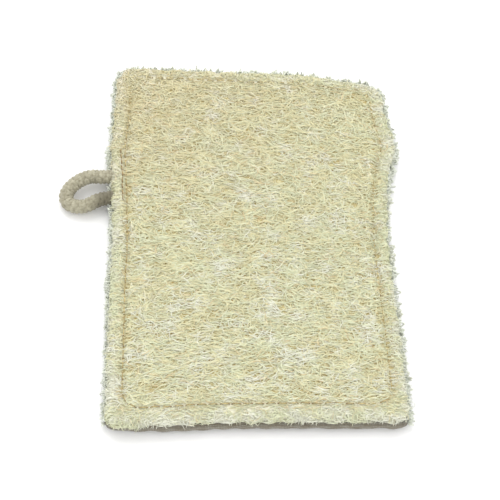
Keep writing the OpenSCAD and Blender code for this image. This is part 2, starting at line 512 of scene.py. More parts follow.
class SewnPanel:
    """One sewn panel: lays flat (u, v, height) points over its face and round its folded rim."""

    def __init__(self, pad, side):
        face = side == "face"
        self.facing = 1 if face else -1
        self.fold = pad.face_fold if face else pad.back_fold
        inset = pad.face_inset if face else pad.back_inset
        drop = pad.face_drop if face else pad.back_drop
        short = pad.face_short if face else 0
        self.half_w = HALF_W - inset
        self.half_l = HALF_L - inset + (drop - short) / 2
        self.middle = -(drop + short) / 2
        self.level = TOP_Z - pad.rim_drop if face else SEAM_Z - 2 * pad.back_fold
        self.corners = (pad.upper_corner, pad.lower_corner)
        # how far the cloth's lower edge is drawn up on the loop's side
        self.tucked_up = 1.6 * MM
        self.pad = pad
        self.face = face

    def relief(self, x, y):
        inside = -stitch_distance(x, y)
        if not self.face:
            return 0.5 * MM * hump(inside / self.pad.groove_width)
        crown = self.pad.crown * smooth(inside / (16 * MM))
        groove = self.pad.groove_depth * hump(inside / self.pad.groove_width)
        lumps = 0.22 * MM * ripples(x, y, 9 * MM, 5) + 0.2 * MM * ripples(x, y, 24 * MM, 6)
        return crown - groove + lumps

    def rim_start(self, v):
        corner = np.where(v > 0, *self.corners)
        return corner, corner - self.fold

    def spread(self, u, v):
        """Signed distance of flat points past the start of the rim's fold, negative inside it."""
        corner, start = self.rim_start(v)
        dx = np.abs(u) - self.half_w + corner
        dy = np.abs(v) - self.half_l + corner
        return past_corner(dx, dy) - start

    def lay(self, flat):
        u, v, h = flat[:, 0], flat[:, 1], flat[:, 2]
        corner, start = self.rim_start(v)
        cx = np.clip(u, corner - self.half_w, self.half_w - corner)
        cy = np.clip(v, corner - self.half_l, self.half_l - corner)
        reach = np.hypot(u - cx, v - cy)
        safe = np.maximum(reach, 1e-9)
        nx, ny = (u - cx) / safe, (v - cy) / safe
        past = np.maximum(reach - start, 0)
        turn = np.minimum(past / self.fold, math.pi)
        tucked = np.maximum(past - math.pi * self.fold, 0)
        lumpy = (0.35 if self.face else 0.2) * MM * ripples(u, v, 7 * MM, 9) * np.sin(turn)
        out = np.minimum(reach, start) + self.fold * np.sin(turn) - tucked + lumpy + h * np.sin(turn)
        x, y = cx + nx * out, cy + ny * out + self.middle
        if not self.face:
            by_loop_side = 1 - smooth((x + HALF_W) / (30 * MM))
            y += self.tucked_up * smooth(-y / self.half_l) * by_loop_side
        rise = self.fold * (np.cos(turn) - 1) + h * np.cos(turn)
        relief = self.relief(x, y) * np.maximum(np.cos(turn), 0)
        z = self.level + self.facing * rise + relief
        return cut_by_hand(np.column_stack((x, y, z)))


# ---------------------------------------------------------------- mesh helpers


def points_of(mesh):
    points = np.empty(len(mesh.vertices) * 3)
    mesh.vertices.foreach_get("co", points)
    return points.reshape(-1, 3)


def set_points(mesh, points):
    mesh.vertices.foreach_set("co", np.ascontiguousarray(points, dtype=np.float32).ravel())
    mesh.update()


def set_value(mesh, name, values):
    attribute = mesh.attributes.get(name) or mesh.attributes.new(name, "FLOAT", "POINT")
    attribute.data.foreach_set("value", np.ascontiguousarray(values, dtype=np.float32))


def set_vector(mesh, name, values):
    attribute = mesh.attributes.get(name) or mesh.attributes.new(name, "FLOAT_VECTOR", "POINT")
    attribute.data.foreach_set("vector", np.ascontiguousarray(values, dtype=np.float32).ravel())


def finished(bm, name, material, body="pad"):
    """Writes a bmesh to a new piece that rides on a body."""
    mesh = bpy.data.meshes.new(name)
    bm.to_mesh(mesh)
    bm.free()
    mesh.shade_smooth()
    mesh.materials.append(material)
    piece = bpy.data.objects.new(name, mesh)
    bpy.context.scene.collection.objects.link(piece)
    if body:
        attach(piece, body)
    return piece


def rod(radius, size, sides, rings):
    """Closed rod along X, split into rings so that it can bend."""
    bm = bmesh.new()
    along_x = Matrix.Rotation(math.pi / 2, 4, "Y")
    bmesh.ops.create_cone(
        bm, cap_ends=True, segments=sides, radius1=radius, radius2=radius, depth=size, matrix=along_x
    )
    long_edges = [e for e in bm.edges if abs(e.verts[0].co.x - e.verts[1].co.x) > size / 2]
    bmesh.ops.subdivide_edges(bm, edges=long_edges, cuts=rings - 1, use_grid_fill=True)
    return bm


class Scatter:
    """Copies a few small shapes many times into one mesh, each with its own place and tones."""

    def __init__(self, shapes, values):
        self.values = values
        self.shapes = []
        for bm in shapes:
            mesh = bpy.data.meshes.new("shape")
            bm.to_mesh(mesh)
            bm.free()
            for name in values:
                mesh.attributes.new(name, "FLOAT", "POINT")
            self.shapes.append((mesh, points_of(mesh)))
        self.bm = bmesh.new()

    def add(self, kind, matrix, tones):
        mesh, points = self.shapes[kind % len(self.shapes)]
        turned = points @ np.array(matrix.to_3x3()).T + np.array(matrix.translation)
        mesh.vertices.foreach_set("co", turned.astype(np.float32).ravel())
        for name, tone in zip(self.values, tones):
            mesh.attributes[name].data.foreach_set("value", np.full(len(points), tone, np.float32))
        self.bm.from_mesh(mesh)

    def finish(self, name, material, slot, shape_points):
        for mesh, _ in self.shapes:
            bpy.data.meshes.remove(mesh)
        piece = finished(self.bm, name, material)
        set_points(piece.data, shape_points(points_of(piece.data)))
        return piece


# ---------------------------------------------------------------- loofah


class Fibre:
    """One bent, rippled, flattened and tapered fibre along X."""

    def __init__(self, settings, draw, size):
        self.size = size
        self.radius = settings.width / math.sqrt(3) * draw.uniform(0.75, 1.25)
        self.arch = size * draw.uniform(-0.2, 0.2)
        self.wave, self.phase = draw.uniform(0.12, 0.40) * MM, draw.uniform(0, math.tau)
        self.dip, self.start = draw.uniform(0.03, 0.11) * MM, draw.uniform(0, math.tau)
        self.turns = size / (draw.uniform(2.6, 5.2) * MM)

    def side(self, t):
        return self.arch * 4 * t * (1 - t) + self.wave * np.sin(math.tau * self.turns * t + self.phase)

    def rise(self, t):
        return self.dip * np.sin(math.tau * self.turns * 0.8 * t + self.start)

    def shape(self, rings):
        bm = rod(self.radius, self.size, 3, rings)
        for v in bm.verts:
            t = v.co.x / self.size + 0.5
            taper = 1 - 0.75 * abs(2 * t - 1) ** 5
            v.co.y = v.co.y * taper + self.side(t)
            v.co.z = v.co.z * taper * FLATNESS + self.rise(t)
        return bm

    def line(self):
        """Flat points along the middle of the fibre."""
        t = np.linspace(0.04, 0.96, 12)
        return np.column_stack(((t - 0.5) * self.size, self.side(t)))


class Pores:
    """Small open holes in the mat: one in half the cells of an uneven grid, and one at each needle hole."""

    def __init__(self, settings, needle_holes):
        self.cell = settings.pore_pitch
        self.radius = settings.pore
        self.cells = 64
        self.picks = np.random.default_rng(8).random((self.cells, self.cells, 4))
        self.needle_holes = needle_holes

    def hit(self, x, y):
        found = np.zeros(x.shape, bool)
        a, b = np.floor(x / self.cell).astype(int), np.floor(y / self.cell).astype(int)
        for i in (-1, 0, 1):
            for j in (-1, 0, 1):
                pick = self.picks[(a + i) % self.cells, (b + j) % self.cells]
                dx = x - (a + i + pick[..., 0]) * self.cell
                dy = y - (b + j + pick[..., 1]) * self.cell
                radius = self.radius * (0.55 + 0.45 * pick[..., 2]) * (pick[..., 3] < 0.5)
                found |= np.hypot(dx / 1.4, dy) < radius
        near = np.abs(stitch_distance(x, y)) < 3 * MM
        spots = np.column_stack((x[near], y[near]))
        gaps = np.hypot(*(spots[:, None] - self.needle_holes[None]).transpose(2, 0, 1))
        found[near] |= gaps.min(axis=1) < 0.38 * MM
        return found


def fibre_turns(draw, v):
    """Directions of fibres at heights v: mostly across near the lower end, more tangled at the top."""
    kind = draw.random(v.shape)
    straight = 0.44 - 0.16 * v / HALF_L
    near = draw.normal(0.04, 0.25, v.shape)
    loose = draw.normal(0, 0.8, v.shape)
    any_way = draw.uniform(0, math.pi, v.shape)
    return np.where(kind < straight, near, np.where(kind < 0.8, loose, any_way))


def fibre_tones(draw, u, v):
    """A fibre's tone, tint and brownness: browner at the upper left and the stitching, paler at the rim."""
    tone, tint = draw.random(), draw.random()
    pale = 0.12 * (-v / HALF_L)
    corner = math.exp(-(((u + HALF_W) / (45 * MM)) ** 2) - ((v - HALF_L) / (40 * MM)) ** 2)
    seam = math.exp(-((stitch_distance(np.array([u]), np.array([v]))[0] / (1.6 * MM)) ** 2))
    brown = 1.0 if draw.random() < 0.05 + 0.15 * corner + 0.10 * seam else 0.0
    rim = min(1.0, max(0.0, 1 - min(HALF_W - abs(u), HALF_L - abs(v)) / (7 * MM)))
    tone = min(1.0, max(0.0, tone + pale + 0.55 * rim))
    return tone, min(1.0, tint + 0.6 * rim), brown * draw.uniform(0.4, 1.0) * (1 - 0.7 * rim)


def open_places(panel, pores, fibres, count, draw):
    """Places (u, v, turn, stretch, fibre) whose fibres stay on the panel and leave the pores open."""
    kept = []
    lines = np.array([f.line() for f in fibres])
    while len(kept) < count:
        u = draw.uniform(-HALF_W - 2 * MM, HALF_W + 2 * MM, count)
        v = draw.uniform(-HALF_L - 2 * MM, HALF_L + 2 * MM, count)
        which = draw.integers(0, len(fibres), count)
        past = panel.spread(u, v)
        stretch = np.where(past > -4 * MM, 0.7, 1.0) * draw.uniform(0.8, 1.2, count)
        turn = fibre_turns(draw, v)
        x, y = lines[which, :, 0] * stretch[:, None], lines[which, :, 1]
        c, s = np.cos(turn)[:, None], np.sin(turn)[:, None]
        crossed = pores.hit(u[:, None] + x * c - y * s, v[:, None] + x * s + y * c + panel.middle).any(axis=1)
        good = (past < panel.fold * 2.2) & ~crossed
        kept += list(zip(u[good], v[good], turn[good], stretch[good], which[good]))
    return kept[:count]


def make_fibres(context, layer, low, high, seed):
    """One layer of fibres, between two heights above the panel."""
    settings, panel = context.scene.scrubber_fibre, SewnPanel(context.scene.scrubber_pad, "face")
    draw = random.Random(seed)
    fibres = [Fibre(settings, draw, settings.length * draw.uniform(0.55, 1.45)) for _ in range(FIBRE_SHAPES)]
    pores = Pores(settings, np.array(needle_holes(context.scene.scrubber_thread.pitch)))
    scatter = Scatter([f.shape(6) for f in fibres], ("tone", "tint", "brown"))
    for u, v, turn, stretch, which in open_places(
        panel, pores, fibres, settings.count, np.random.default_rng(seed)
    ):
        tilt = Matrix.Rotation(turn, 4, "Z") @ Matrix.Rotation(draw.uniform(-0.04, 0.04), 4, "Y")
        place = Matrix.Translation((u, v, draw.uniform(low, high)))
        scatter.add(int(which), place @ tilt @ Matrix.Diagonal((stretch, 1, 1, 1)), fibre_tones(draw, u, v))
    return scatter.finish(f"loofah_fibres_{layer}", bpy.data.materials["loofah_fibre"], "loofah", panel.lay)


def panel_sheet(panel, spacing, wrap):
    """Flat grid as large as the panel and its turned-in edge, cut to its round corners."""
    half_w, half_l = panel.half_w + wrap, panel.half_l + wrap
    bm = bmesh.new()
    bmesh.ops.create_grid(
        bm, x_segments=round(2 * half_w / spacing), y_segments=round(2 * half_l / spacing), size=1.0
    )
    bmesh.ops.scale(bm, vec=(half_w, half_l, 1), verts=bm.verts)
    points = np.array([v.co[:] for v in bm.verts])
    limit = math.pi * panel.fold + 3 * MM
    past = panel.spread(points[:, 0], points[:, 1])
    spare = [v for v, p in zip(bm.verts, past) if p > limit]
    bmesh.ops.delete(bm, geom=spare, context="VERTS")
    return bm


def sewn_panel(context, side, name, material, thickness):
    """One panel as a sheet with its edges folded in, thickened by a modifier."""
    pad = context.scene.scrubber_pad
    panel = SewnPanel(pad, side)
    bm = panel_sheet(panel, pad.grid, math.pi * panel.fold + 2 * MM - panel.fold)
    piece = finished(bm, name, material)
    flat = points_of(piece.data)
    set_vector(piece.data, "flat", flat)
    set_points(piece.data, panel.lay(flat))
    if side == "back":
        piece.data.flip_normals()
    wall = piece.modifiers.new("wall", "SOLIDIFY")
    wall.thickness = thickness
    wall.offset = -1
    return piece


class SCRUBBER_OT_loofah_panel(Operator):
    """Make the flattened loofah mat with its turned-in edges"""

    bl_idname = "scrubber.loofah_panel"
    bl_label = "Loofah panel"

    def execute(self, context):
        material = loofah_mat(context.scene.scrubber_fibre)
        piece = sewn_panel(context, "face", "loofah_panel", material, 0.7 * MM)
        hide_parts("loofah_face")
        return {"FINISHED"}


class SCRUBBER_OT_loofah_fibres(Operator):
    """Lay the loofah's crossing fibres over the panel, in layers"""

    bl_idname = "scrubber.loofah_fibres"
    bl_label = "Loofah fibres"

    def execute(self, context):
        loofah_fibre(context.scene.scrubber_fibre)
        layers = ("deep", "low", "lower", "middle", "upper", "top")
        for step, layer in enumerate(layers):
            make_fibres(context, layer, 0.1 * step * MM, (0.1 * step + 0.16) * MM, step + 1)
        return {"FINISHED"}


class SCRUBBER_OT_frayed_rim(Operator):
    """Add the short frayed fibres that stand out round the rim"""

    bl_idname = "scrubber.frayed_rim"
    bl_label = "Frayed rim"

    def execute(self, context):
        settings, panel = context.scene.scrubber_fibre, SewnPanel(context.scene.scrubber_pad, "face")
        draw = random.Random(31)
        shapes = [Fibre(settings, draw, draw.uniform(1.8, 4.2) * MM).shape(6) for _ in range(SMALL_SHAPES)]
        scatter = Scatter(shapes, ("tone", "tint", "brown"))
        for _ in range(settings.stray):
            u, v, outward = rim_place(panel, draw, draw.uniform(-1.5 * MM, 3.4 * MM))
            slant = Matrix.Rotation(outward + draw.gauss(0, 0.6), 4, "Z")
            lift = Matrix.Rotation(-draw.uniform(0.1, 0.9), 4, "Y")
            thin = Matrix.Diagonal((1, 0.7, 0.7, 1))
            place = Matrix.Translation((u, v, draw.uniform(0.2, 0.9) * MM))
            scatter.add(draw.randrange(SMALL_SHAPES), place @ slant @ lift @ thin, fibre_tones(draw, u, v))
        scatter.finish("loofah_frayed_rim", bpy.data.materials["loofah_fibre"], "loofah", panel.lay)
        return {"FINISHED"}


def rim_place(panel, draw, past):
    """A random flat point round the rim, a given way past the start of the fold, and its outward turn."""
    half_w, half_l = panel.half_w, panel.half_l
    side = draw.choices((0, 1, 2, 3), (half_l, half_w, half_l, 1.8 * half_w))[0]
    frays = draw.gauss(draw.choice((0.24, -0.8)), 0.05)
    spot = frays if side == 3 and draw.random() < 0.25 else draw.uniform(-1, 1)
    out = past - panel.fold
    if side % 2 == 0:
        sign = 1 if side == 0 else -1
        u, v = sign * (half_w + out), spot * half_l
        outward = 0 if sign > 0 else math.pi
    else:
        sign = 1 if side == 1 else -1
        u, v = spot * half_w, sign * (half_l + out)
        outward = sign * math.pi / 2
    corner = panel.corners[0] if v > 0 else panel.corners[1]
    cx = min(max(u, corner - half_w), half_w - corner)
    cy = min(max(v, corner - half_l), half_l - corner)
    arm = math.hypot(u - cx, v - cy)
    wanted = corner + out
    if abs(u - cx) > 0 and abs(v - cy) > 0:
        outward = math.atan2(v - cy, u - cx)
        u, v = cx + (u - cx) / arm * wanted, cy + (v - cy) / arm * wanted
    return u, v, outward


# ---------------------------------------------------------------- terry back


def pile_loop(settings, draw):
    """One terry loop: a rod bent into a tall, leaning arch, standing on its two feet."""
    bm = rod(settings.yarn / math.sqrt(3), 1.0, 3, 5)
    half = draw.uniform(0.3, 0.6) * MM
    height = settings.loop_height * draw.uniform(0.6, 1.1)
    lean, curl = draw.gauss(0, 0.4) * MM, draw.gauss(0, 0.35) * MM
    for v in bm.verts:
        angle = math.pi * (0.5 - v.co.x)
        side, up = v.co.y, v.co.z
        arch = math.sin(angle)
        v.co.x = math.cos(angle) * (half + up) + curl * arch
        v.co.y = side + lean * arch + 0.25 * MM * math.cos(angle)
        v.co.z = arch * (height + up) - 0.15 * MM
    return bm


def loose_hair(settings, draw):
    """One fine curled hair that stands out of the pile."""
    size = settings.loop_height * draw.uniform(1.0, 2.0)
    bm = rod(0.055 * MM, size, 3, 4)
    curl = draw.uniform(0.15, 0.5) * size
    for v in bm.verts:
        t = v.co.x / size + 0.5
        v.co.x, v.co.z = v.co.z + curl * math.sin(2.6 * t), size * t * (1 - 0.3 * t)
    return bm


def make_pile(context, name, shapes, places):
    """Stands a shape at each (u, v, scale) place of the terry panel, pressed softly where it lies on it."""
    settings = context.scene.scrubber_terry
    panel = SewnPanel(context.scene.scrubber_pad, "back")
    draw = random.Random(len(places))
    scatter = Scatter([shapes(settings, draw) for _ in range(SMALL_SHAPES)], ("tone",))
    for u, v, scale in places:
        spin = Matrix.Rotation(draw.uniform(0, math.tau), 4, "Z")
        turn = spin @ Matrix.Rotation(draw.gauss(0, 0.6), 4, "X")
        width = draw.uniform(0.75, 1.1)
        size = Matrix.Diagonal((width, width, width * scale, 1))
        which = draw.randrange(SMALL_SHAPES)
        scatter.add(which, Matrix.Translation((u, v, 0)) @ turn @ size, (draw.random(),))
    room = panel.level - BACK_LOW.z - 0.03 * MM

    def pressed(points):
        laid = panel.lay(points)
        under = np.maximum(panel.level - laid[:, 2], 0)
        laid[:, 2] += under - room * np.tanh(under / room)
        return laid

    return scatter.finish(name, bpy.data.materials["terry_pile"], "terry", pressed)


class SCRUBBER_OT_terry_cloth(Operator):
    """Make the woven ground of the terry back"""

    bl_idname = "scrubber.terry_cloth"
    bl_label = "Terry cloth"

    def execute(self, context):
        material = terry_ground(context.scene.scrubber_terry)
        piece = sewn_panel(context, "back", "terry_cloth", material, 0.6 * MM)
        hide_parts("terry_back")
        return {"FINISHED"}


class SCRUBBER_OT_terry_pile(Operator):
    """Cover the terry back and its rim with loops"""

    bl_idname = "scrubber.terry_pile"
    bl_label = "Terry pile"

    tuft: number("Tuft", "Loops that stand together at the seam", 7)

    def execute(self, context):
        settings = context.scene.scrubber_terry
        terry_pile(settings)
        panel = SewnPanel(context.scene.scrubber_pad, "back")
        draw = random.Random(77)
        rim_edge = -4.5 * MM
        turned = panel.fold * math.pi
        row = 0.8 * MM
        back = self.grid(panel, draw, settings.back_pitch, -HALF_L, rim_edge)
        back = [(u, v, 1) for u, v in back if abs(stitch_distance(u, v)) > row]
        rim = self.grid(panel, draw, settings.rim_pitch, rim_edge, turned * 0.92)
        rim = [(u, v, 0.9) for u, v in rim if v > -panel.half_l + 2 * MM]
        rim = [(u, v, s) for u, v, s in rim if abs(stitch_distance(u, v)) > row]
        rim += self.side_tuft(panel, draw)
        fringe = self.seam_places(panel, draw, settings.fringe, settings.fringe_height / settings.loop_height)
        fuzz = self.seam_places(panel, draw, settings.fuzz, 1.0)
        make_pile(context, "terry_pile_back", pile_loop, back)
        make_pile(context, "terry_pile_rim", pile_loop, rim)
        make_pile(context, "terry_fringe", pile_loop, fringe)
        make_pile(context, "terry_fuzz", loose_hair, fuzz)
        return {"FINISHED"}

    def side_tuft(self, panel, draw):
        """Places (u, v, scale) of the taller loops that stand out together above the cord."""
        middle, spread, scale, loops = 34, 0.7, 1.5, 9
        spots = [(draw.uniform(-1, 0), middle + draw.gauss(0, spread)) for _ in range(loops)]
        return [(-panel.half_w + out * MM, up * MM, scale) for out, up in spots]

    def seam_places(self, panel, draw, count, scale):
        """Places (u, v, scale) by the seam, in tufts, on the three sides where the pile shows."""
        turned = panel.fold * math.pi
        top, right = panel.half_l - 3 * MM, panel.half_w - 3 * MM
        spots = []
        for _ in range(count // self.tuft):
            u, v, _ = rim_place(panel, draw, draw.uniform(0.5, 0.9) * turned)
            fuller = 1.45 if v > top or u > right else 1
            height = scale * draw.uniform(0.6, 1.2) * fuller
            around = [(u + draw.gauss(0, 0.4) * MM, v + draw.gauss(0, 0.4) * MM) for _ in range(self.tuft)]
            spots += [(a, b, height * draw.uniform(0.7, 1.15)) for a, b in around]
        return [(u, v, s) for u, v, s in spots if v > -panel.half_l + 1 * MM]

    def grid(self, panel, draw, pitch, low, high):
        """Jittered grid of flat points whose distance past the fold's start lies between low and high."""
        wide, tall = panel.half_w + 4 * MM, panel.half_l + 4 * MM
        jitter = pitch * 0.35
        u, v = np.meshgrid(np.arange(-wide, wide, pitch), np.arange(-tall, tall, pitch))
        moves = np.array([draw.uniform(-jitter, jitter) for _ in range(2 * u.size)])
        u, v = u.ravel() + moves[: u.size], v.ravel() + moves[u.size :]
        past = panel.spread(u, v)
        kept = (past > low) & (past <= high)
        return list(zip(u[kept], v[kept]))


# ---------------------------------------------------------------- cord and thread


def smooth_line(points, steps):
    """Cubic B-spline along the points, with a number of steps for each of them."""
    p = np.array([2 * np.array(points[0]) - points[1], *points, 2 * np.array(points[-1]) - points[-2]])
    line = []
    for i in range(1, len(p) - 2):
        a, b, c, d = p[i - 1 : i + 3]
        for t in np.arange(steps) / steps:
            near = (1 - t) ** 3 * a + (3 * t**3 - 6 * t**2 + 4) * b
            far = (1 + 3 * t + 3 * t**2 - 3 * t**3) * c + t**3 * d
            line.append((near + far) / 6)
    line.append(p[-2])
    return np.array(line)


def cord_line(sewn_in):
    """The whole cord's middle line: one end in the seam, the bight, and the other end in the seam."""
    first, last = np.array(BIGHT[0]), np.array(BIGHT[-1])
    runs = (sewn_in, sewn_in / 2, -1.2 * MM)
    start = [(-HALF_W + run, first[1] + 0.1 * (run + 3 * MM), first[2]) for run in runs]
    finish = [(-HALF_W + run, last[1] + 0.5 * MM + 0.16 * (run + 3 * MM), last[2]) for run in reversed(runs)]
    return smooth_line([*start, *BIGHT, *finish], steps=8)


def along_line(line):
    """Distance of each point along the line, and smooth unit frames (forward, side, up) at each."""
    steps = np.diff(line, axis=0)
    distance = np.concatenate(([0], np.cumsum(np.linalg.norm(steps, axis=1))))
    forward = np.gradient(line, distance, axis=0)
    forward /= np.linalg.norm(forward, axis=1)[:, None]
    side = np.cross(forward, (0, 0, 1))
    side /= np.linalg.norm(side, axis=1)[:, None]
    return distance, forward, side, np.cross(side, forward)


def bend_along(points, line):
    """Bends points that lie round the X axis so that they lie round the line."""
    distance, _, side, up = along_line(line)
    x = np.clip(points[:, 0], 0, distance[-1])

    def at(values):
        return np.column_stack([np.interp(x, distance, values[:, i]) for i in range(3)])

    return at(line) + at(side) * points[:, 1:2] + at(up) * points[:, 2:3]


def pressed_in(points):
    """Presses the cord flat where it lies between the two panels, below the groove of the stitching."""
    inside = smooth((points[:, 0] + HALF_W - 1 * MM) / (4 * MM))
    middle = BIGHT[0][2]
    pressed = points.copy()
    pressed[:, 2] = middle + (points[:, 2] - middle) * (1 - 0.45 * inside) - 0.4 * MM * inside
    return pressed


def braid_strand(settings, size, turn, hand):
    """One strand of the straight braid, spun round the X axis, with its own lie and depth."""
    sides, steps_per_turn = 10, 26
    middle = CORD_D / 2 - settings.strand_t / 2 - settings.weave
    bm = bmesh.new()
    ring = bmesh.ops.create_circle(bm, cap_ends=False, segments=sides, radius=0.5)["verts"]
    bmesh.ops.scale(bm, vec=(settings.strand_w, settings.strand_t, 1), verts=ring)
    slant = math.atan2(math.tau * middle, settings.plait)
    across = Matrix.Rotation(math.pi / 2, 4, "Y") @ Matrix.Rotation(math.pi / 2, 4, "Z")
    start = Matrix.Translation((0, 0, middle)) @ Matrix.Rotation(-hand * slant, 4, "Z") @ across
    bmesh.ops.transform(bm, matrix=start, verts=ring)
    turns = size / settings.plait
    steps = round(turns * steps_per_turn)
    bmesh.ops.spin(
        bm, geom=list(bm.verts) + list(bm.edges), cent=(0, 0, 0), axis=(1, 0, 0),
        dvec=(size / steps, 0, 0), angle=hand * turns * math.tau, steps=steps, use_duplicate=False,
    )
    bmesh.ops.rotate(bm, cent=(0, 0, 0), matrix=Matrix.Rotation(turn, 3, "X"), verts=bm.verts)
    bmesh.ops.holes_fill(bm, edges=[e for e in bm.edges if e.is_boundary])
    bmesh.ops.recalc_face_normals(bm, faces=bm.faces)
    return bm, middle, slant


def braid(settings, size):
    """All strands of the straight braid, in over-and-under order, as one bmesh with its attributes."""
    joined = bmesh.new()
    for hand in (1, -1):
        for i in range(settings.strands):
            turn = math.tau * i / settings.strands + (0.0 if hand > 0 else math.pi / settings.strands)
            bm, middle, slant = braid_strand(settings, size, turn, hand)
            mesh = bpy.data.meshes.new("strand")
            bm.to_mesh(mesh)
            bm.free()
            points = points_of(mesh)
            radial = np.hypot(points[:, 1], points[:, 2])
            angle = np.arctan2(points[:, 2], points[:, 1])
            travel = points[:, 0] * math.tau / settings.plait
            weave = hand * np.cos(settings.strands * travel)
            lifted = radial + settings.weave * weave
            moved = points.copy()
            moved[:, 1] *= lifted / radial
            moved[:, 2] *= lifted / radial
            set_points(mesh, moved)
            flat = travel * settings.plait / math.tau / math.cos(slant)
            across = (angle * middle * math.cos(slant)) % (settings.strand_w * 3)
            set_vector(mesh, "lie", np.column_stack((flat, across, radial - middle)))
            # The deep value measures how far below the cord's top a point lies; the material paints shade in
            # the crevices by it.
            top = CORD_D / 2
            set_value(mesh, "deep", np.clip((top - lifted) / settings.strand_t - 0.15, 0, 1))
            set_value(mesh, "tone", np.full(len(points), (0.37 * i + (0.5 if hand > 0 else 0.0)) % 1))
            joined.from_mesh(mesh)
            bpy.data.meshes.remove(mesh)
    return joined


class SCRUBBER_OT_braided_cord(Operator):
    """Braid the cord and lay it along its route, with both ends in the seam"""

    bl_idname = "scrubber.braided_cord"
    bl_label = "Braided cord"

    def execute(self, context):
        settings = context.scene.scrubber_cord
        line = cord_line(settings.sewn_in)
        size = along_line(line)[0][-1]
        piece = finished(braid(settings, size), "braided_cord", cord_cotton(settings), body=None)
        bent = pressed_in(bend_along(points_of(piece.data), line))
        set_points(piece.data, bent)
        # Painted shadow: marks the lower strand near the pad, where it runs in under the pad's edge.
        near_pad = smooth((bent[:, 0] / MM + 63) / 6)
        lower_strand = smooth((18.5 - bent[:, 1] / MM) / 3)
        set_value(piece.data, "root_shadow", near_pad * lower_strand)
        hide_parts("hanging_loop", "loop_end_upper", "loop_end_lower")
        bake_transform(piece)
        return {"FINISHED"}


def needle_holes(pitch):
    """The topstitching's needle holes."""
    return row_round(STITCH_HIGH.x, STITCH_HIGH.y, STITCH_CORNER, pitch)


def row_round(half_w, half_l, corner, pitch):
    """Holes of a row round all four sides: straight sides in whole stitches, two round each corner."""
    ax, ay = half_w - corner, half_l - corner
    ends = []
    for k, (cx, cy) in enumerate(((ax, -ay), (ax, ay), (-ax, ay), (-ax, -ay))):
        straight = 2 * (ax if k % 2 == 0 else ay)
        count = round(straight / pitch)
        turn = k * math.pi / 2
        forward = np.array((math.cos(turn), math.sin(turn)))
        outward = np.array((math.sin(turn), -math.cos(turn)))
        base = np.array((cx, cy)) + outward * corner
        ends += [base - forward * straight * (1 - i / count) for i in range(count)]
        arc = [turn - math.pi / 2 + math.pi / 2 * i / 2 for i in range(2)]
        ends += [np.array((cx, cy)) + corner * np.array((math.cos(a), math.sin(a))) for a in arc]
    return ends


def thread_route(holes, closed, draw, high, low):
    """Flat (u, v, height) points of a thread that dips into each hole and lies flat between them."""
    route = []
    spans = len(holes) if closed else len(holes) - 1
    for i in range(spans):
        a, b = holes[i], holes[(i + 1) % len(holes)]
        slip = draw.uniform(-0.12, 0.12) * MM
        across = np.array((a[1] - b[1], b[0] - a[0])) / max(np.linalg.norm(b - a), 1e-9)
        top = high * draw.uniform(0.85, 1.15)
        for t, share in STITCH_PROFILE:
            u, v = a + (b - a) * t + across * slip * math.sin(math.pi * t)
            route.append((u, v, low + (top - low) * share))
    return np.array(route)


def thread_piece(name, route, closed, thickness, material):
    """A thread as a bevelled curve through the route, made a mesh."""
    curve = bpy.data.curves.new(name, "CURVE")
    curve.dimensions = "3D"
    curve.bevel_depth = thickness / 2
    curve.bevel_resolution = 1
    curve.use_fill_caps = True
    line = curve.splines.new("POLY")
    line.points.add(len(route) - 1)
    line.points.foreach_set("co", np.column_stack((route, np.ones(len(route)))).ravel())
    line.use_cyclic_u = closed
    drawn = bpy.data.objects.new(name + "_line", curve)
    bpy.context.scene.collection.objects.link(drawn)
    bm = bmesh.new()
    bm.from_mesh(bpy.data.meshes.new_from_object(drawn))
    bmesh.ops.remove_doubles(bm, verts=bm.verts, dist=1e-7)
    bpy.data.objects.remove(drawn)
    bpy.data.curves.remove(curve)
    return finished(bm, name, material)


def darken_holes(piece, route, spread):
    """Marks how near each point of a thread is to the needle holes on its route, where the material paints
    shade.
    """
    points = points_of(piece.data)
    holes = route[:: len(STITCH_PROFILE)]
    away = np.min([np.linalg.norm(points[:, :2] - hole[:2], axis=1) for hole in holes], axis=0)
    set_value(piece.data, "sunk", hump(away / spread))


class SCRUBBER_OT_stitching(Operator):
    """Sew the topstitching on both sides and the tack over the cord's ends"""

    bl_idname = "scrubber.stitching"
    bl_label = "Stitching"

    def execute(self, context):
        settings = context.scene.scrubber_thread
        pad = context.scene.scrubber_pad
        face, back = SewnPanel(pad, "face"), SewnPanel(pad, "back")
        draw = random.Random(12)
        holes = np.array(needle_holes(settings.pitch))
        tan = spun_thread("needle_thread", settings.needle)
        cream = spun_thread("bobbin_thread", settings.bobbin)
        high = 0.78 * MM
        low = -0.9 * MM
        route = thread_route(holes - (0, face.middle), True, draw, high, low)
        upper_half = smooth((route[:, 1] - HALF_L / 2) / (20 * MM))
        right_half = smooth((route[:, 0] - HALF_W / 2) / (20 * MM))
        route[:, 2] -= 0.3 * MM * np.maximum(upper_half, right_half)
        upper = face.lay(route)
        piece = thread_piece("needle_thread", upper, True, settings.thickness, tan)
        darken_holes(piece, upper, 0.9 * MM)
        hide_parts("topstitch_needle_thread")
        lower = back.lay(thread_route(holes - (0, back.middle), True, draw, 0.9 * MM, low))
        piece = thread_piece("bobbin_thread", lower, True, settings.thickness, cream)
        darken_holes(piece, lower, 0.7 * MM)
        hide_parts("topstitch_bobbin_thread")
        x = (TACK_LOW.x + TACK_HIGH.x) / 2
        rows = np.linspace(TACK_LOW.y, TACK_HIGH.y, 10)
        tack = [np.array((x + draw.uniform(-0.2, 0.2) * MM, y - face.middle)) for y in rows]
        route = face.lay(thread_route(tack, False, draw, high * 1.15, low))
        brown = spun_thread("tack_thread", settings.tack)
        piece = thread_piece("tack_thread", route, False, settings.thickness, brown)
        darken_holes(piece, route, 0.6 * MM)
        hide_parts("loop_tack_thread")
        return {"FINISHED"}


